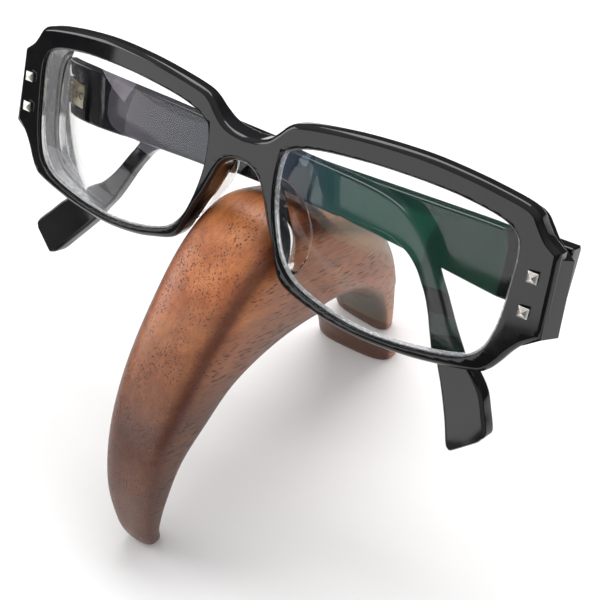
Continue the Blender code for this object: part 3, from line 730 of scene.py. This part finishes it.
def build_front(acetate):
    half = [TOP_EDGE, SIDE_EDGE, LOWER_EDGE]
    mirrored = [[(-x, z) for x, z in reversed(path)] for path in reversed(half)]
    outline = joined(half + mirrored, OUTLINE_STEPS)
    bm = bmesh.new()
    walls = [(lay_back if depth > RIM_MIDDLE else lay)(bm, inset(outline, gap), depth)
             for gap, depth in RIM_PROFILE]
    ring_faces(bm, walls)
    holes = []
    for sign in (1, -1):
        edge = opening(sign)
        rings = [lay(bm, inset(edge, gap), depth) for gap, depth in OPENING_PROFILE]
        ring_faces(bm, rings)
        holes.append((rings[0], rings[-1]))
    follow_bow(bm, cap(bm, walls[0], [h[0] for h in holes]), 0.0)
    cap(bm, walls[-1], [h[1] for h in holes])
    front = make(bm, "front_rim", SEAT, [acetate])
    boolean(front, make(merged([block(sign) for sign in (1, -1)]), "blocks", SEAT, [acetate]), "UNION")
    low_y = FRONT_LEAF_BACK - LEAF_THICK - 0.3
    cutters = []
    for sign in (1, -1):
        x0, x1 = sorted((sign * 66.0, sign * 71.2))
        cutters.append(box((x0, low_y, LEAF_LOW - 0.3), (x1, 20, LEAF_HIGH + 0.3)))
    boolean(front, make(merged(cutters), "pockets", SEAT, [acetate]))
    shade(front)
    weighted(front)
    keep(front, "eyeglass_front", "black_acetate", "frame_front")


# ---------------------------------------------------------------- lenses
def lens_thickness(offset):
    """Thickness at an offset from the optical centre."""
    return LENS_CENTRE_THICK + LENS_GROWTH * offset.length_squared


def build_lens(side, glass, edge_glass):
    """A minus lens: domed front, hollower back, bevelled edge seated in the groove."""
    sign = SIDES[side]
    bm = bmesh.new()
    edge = inset(opening(sign), LENS_GAP)
    ridge = inset(opening(sign), LENS_GAP - LENS_RIDGE)
    centre = Vector((sign * OPTICAL_CENTRE[0], OPTICAL_CENTRE[1]))

    def surface(t, back, loop=edge, drop=0.0):
        points = [centre + (p - centre) * t for p in loop]
        ring = lay(bm, points, LENS_FRONT - LENS_DOME * (1 - t * t) + drop)
        for vert, p in zip(ring, points):
            vert.co.y += back * lens_thickness(p - centre)
        return ring

    steps = [(i / LENS_RADIAL_STEPS) for i in range(1, LENS_RADIAL_STEPS + 1)]
    steps[-1] = LENS_LAST_STEP
    front = [surface(t, 0) for t in steps]
    back = [surface(t, 1) for t in reversed(steps)]
    v_edge = [lay(bm, loop, depth) for loop, depth in zip((edge, ridge, ridge, edge), LENS_V_DEPTHS)]
    rim = [surface(1.0, 0, drop=LENS_EDGE_DROP)] + v_edge + [surface(1.0, 1, drop=-LENS_EDGE_DROP)]
    ring_faces(bm, front)
    ring_faces(bm, back)
    ring_faces(bm, [front[-1]] + rim + [back[0]], 1)
    fan(bm, front[0])
    fan(bm, back[-1])
    lens = make(bm, f"lens_optic_{side}", SEAT, [glass, edge_glass], 30)
    keep(lens, "eyeglass_front", "lens_glass", f"lens_{side}")


# ---------------------------------------------------------------- nose pads
def pad_section(x, z, reach):
    """Blade section of one station: its inner side, a rounded rear edge, its outer side."""
    start = nose_extra(x, z)
    length = max(PAD_LEAST, reach - start)
    face, rear = [], []
    count = 8
    for i in range(count + 1):
        along = i / count
        deep = start + along * length
        px = x * (1 + NOSE_FLARE * deep)
        thick = PAD_THICK[0] + (PAD_THICK[1] - PAD_THICK[0]) * along
        pinch = 0.3 * thick * max(0.0, along * length - length + 0.5) ** 2 / 0.25
        y = FRONT_THICK + PAD_GAP + bow(px) + deep
        face.append((px + pinch, y))
        rear.append((px + thick - pinch, y - 0.04 * along * length))
    return face + rear[::-1]


def build_pad(side, clear):
    sign = SIDES[side]
    rings = []
    for z, x, reach in smooth_path(PAD_STATIONS, 8):
        rings.append([(sign * px, py, z) for px, py in pad_section(x, z, reach)])
    pad = make(loft(rings), f"clear_pad_{side}", SEAT, [clear], 50)
    keep(pad, "eyeglass_front", "clear_acetate", f"nose_pad_{side}")


# ---------------------------------------------------------------- studs
def build_stud(side, level, metal):
    """A four-sided pyramid with softened edges, and its shank."""
    sign = SIDES[side]
    x, z, face = sign * STUD_X, STUD_Z[level], bow(STUD_X)
    rings = []
    for half, rise in ((STUD_SIDE / 2 - 0.12, 0.0), (STUD_SIDE / 2, 0.1), (STUD_SIDE / 2, 0.22),
                       (STUD_SIDE / 2 - 0.1, 0.33), (0.14, STUD_TALL - 0.05), (0.05, STUD_TALL)):
        ring = []
        for i in range(4):
            for nudge in (-0.1, 0.1):
                angle = math.radians(45 + 90 * i + nudge * 90 * min(1, 0.12 / half))
                reach = half * math.sqrt(2)
                across, up = reach * math.cos(angle), reach * math.sin(angle)
                ring.append((x + across, face - STUD_LIFT - rise, z + up))
        rings.append(ring)
    head = loft(rings, plain)
    shank = []
    for y in (face - STUD_LIFT, FRONT_LEAF_BACK - 0.1):
        turns = [math.tau * i / 20 for i in range(20)]
        shank.append([(x + SHANK_R * math.cos(a), y, z + SHANK_R * math.sin(a)) for a in turns])
    stud = make(merged([head, loft(shank, plain)]), f"pyramid_stud_{side}_{level}", SEAT, [metal], 20)
    keep(stud, "eyeglass_front", "stud_metal", f"stud_{side}_{level}")


# ---------------------------------------------------------------- temples
def wrap(side, p):
    """How far the tip curves inwards at a point of the side view."""
    reach = max(0.0, p.dot(Vector(TIP_AXIS)) - WRAP_START) / WRAP_LENGTH
    return TIP_WRAP[side] * reach ** WRAP_POWER


def temple_section(side, top, low, shrink=0.0):
    """Rounded rectangle between the upper and lower edge points of one station."""
    sign = SIDES[side]
    inner, outer = TEMPLE_FACE - shrink, TEMPLE_FACE - TEMPLE_THICK + shrink
    up = (top - low).normalized()
    top, low = top - up * shrink, low + up * shrink
    r = TEMPLE_ROUND
    corners = ((top, outer, -1, 1), (top, inner, 1, 1), (low, inner, 1, -1), (low, outer, -1, -1))
    ring = []
    for k, (point, face, dx, dz) in enumerate(corners):
        for i in range(5):
            turn = math.pi / 2 * i / 4
            a, b = (math.cos(turn), math.sin(turn)) if k % 2 == 0 else (math.sin(turn), math.cos(turn))
            n = face - dx * r * (1 - a)
            p = point - up * dz * r * (1 - b)
            ring.append((-sign * (n + wrap(side, p)), p.x, p.y - p.x * DROOP[side]))
    return ring


def build_temple(side, acetate):
    sign = SIDES[side]
    tops = smooth_path([s[0] for s in TEMPLE_STATIONS], TEMPLE_STEPS)
    lows = smooth_path([s[1] for s in TEMPLE_STATIONS], TEMPLE_STEPS)
    rings = [temple_section(side, t, l) for t, l in zip(tops, lows)]
    first = temple_section(side, tops[0], lows[0], 0.35)
    rings[0] = [(x, y + 0.35, z) for x, y, z in rings[0]]
    ahead = (tops[-1] - tops[-2] + lows[-1] - lows[-2]).normalized() * 0.3
    last = temple_section(side, tops[-1] + ahead, lows[-1] + ahead, 0.4)
    temple = make(loft([first] + rings + [last]), f"side_arm_{side}", hub_matrix(side), [acetate], 40)
    cutters = []
    for x, along, tall in POCKETS:
        x0, x1 = sorted((sign * x, -sign * 2))
        cutters.append(box((x0, -4, HINGE_Z - tall / 2), (x1, along, HINGE_Z + tall / 2)))
    for cutter in cutters:
        boolean(temple, make(cutter, "pocket", hub_matrix(side), [acetate]))
    shade(temple, 40)
    weighted(temple)
    keep(temple, f"temple_{side}", "black_acetate", f"temple_{side}")


# ---------------------------------------------------------------- room
def build_stage():
    """A white table top that ends in front of the object, past the edge of the picture."""
    bm = bmesh.new()
    (x0, y0), (x1, y1) = TABLE
    bm.faces.new([bm.verts.new(p) for p in ((x0, y0, 0), (x1, y0, 0), (x1, y1, 0), (x0, y1, 0))])
    mesh = bpy.data.meshes.new("floor")
    bm.to_mesh(mesh)
    bm.free()
    floor = bpy.data.objects.new("floor", mesh)
    bpy.context.scene.collection.objects.link(floor)
    floor.data.materials.append(floor_material())


def area_light(name, place, aim, size, radiance, colour=(1, 1, 1)):
    """A softbox whose face has the given brightness."""
    data = bpy.data.lights.new(name, "AREA")
    data.shape = "RECTANGLE"
    data.size, data.size_y = size
    data.energy = radiance * math.pi * size[0] * size[1]
    data.color = colour
    obj = bpy.data.objects.new(name, data)
    bpy.context.scene.collection.objects.link(obj)
    obj.location = place
    obj.rotation_euler = (Vector(aim) - Vector(place)).to_track_quat("-Z", "Y").to_euler()


def build_world():
    """White for what is seen and lit, dim low down and brighter overhead for what is mirrored."""
    world = bpy.data.worlds.new("soft_room")
    world.use_nodes = True
    nodes, links = world.node_tree.nodes, world.node_tree.links
    background = nodes["Background"]
    path = nodes.new("ShaderNodeLightPath")
    coords = nodes.new("ShaderNodeTexCoord")
    split = nodes.new("ShaderNodeSeparateXYZ")
    links.new(coords.outputs["Generated"], split.inputs["Vector"])
    height = remap(nodes, links, split.outputs["Z"], -0.1, 0.9)
    mirrored = ramp(nodes, MIRRORED_SKY)
    links.new(height, mirrored.inputs["Fac"])
    links.new(mix(nodes, links, path.outputs["Is Glossy Ray"], LIT_SKY, mirrored.outputs["Color"]),
              background.inputs["Color"])
    bpy.context.scene.world = world


def build_lights():
    build_world()
    for name, place, aim, size, radiance in LIGHTS:
        area_light(name, place, aim, size, radiance)
    bpy.context.scene.view_settings.view_transform = "Standard"


def build_camera():
    data = bpy.data.cameras.new("camera")
    data.lens = CAMERA_LENS
    data.sensor_width = CAMERA_SENSOR
    data.clip_start = CAMERA_NEAR
    camera = bpy.data.objects.new("camera", data)
    bpy.context.scene.collection.objects.link(camera)
    turn = Vector(CAMERA_AIM).to_track_quat("-Z", "Y").to_matrix().to_4x4()
    camera.matrix_world = Matrix.Translation(CAMERA_AT) @ turn @ Matrix.Rotation(CAMERA_ROLL, 4, "Z")
    bpy.context.scene.camera = camera


def main():
    build_camera()
    build_stage()
    build_lights()
    acetate = acetate_material()
    glass, edge_glass = lens_material(), lens_edge_material()
    clear = clear_acetate_material()
    stud_metal = metal_material("polished_stud", (0.86, 0.83, 0.74), (0.97, 0.95, 0.88), 0.28, 0.4)
    gold = metal_material("pale_gold_plate", (0.85, 0.79, 0.62), (0.97, 0.93, 0.8), 0.3, 0.42)
    steel = metal_material("screw_steel", (0.42, 0.42, 0.43), (0.7, 0.7, 0.71), 0.2, 0.38)
    wire = metal_material("core_wire", (0.5, 0.5, 0.5), (0.75, 0.75, 0.74), 0.3, 0.5)
    build_rest(wood_material())
    build_front(acetate)
    for side in SIDES:
        build_lens(side, glass, edge_glass)
        build_pad(side, clear)
        build_temple(side, acetate)
        for level in STUD_Z:
            build_stud(side, level, stud_metal)
    finishes = {"hinge_front_leaf": gold, "hinge_temple_leaf": gold, "temple_rivet": gold,
                "hinge_screw": steel, "core_wire": wire}
    for node, obj in frame["nodes"].items():
        for start, finish in finishes.items():
            if node.startswith(start):
                obj.data.materials.clear()
                obj.data.materials.append(finish)


main()
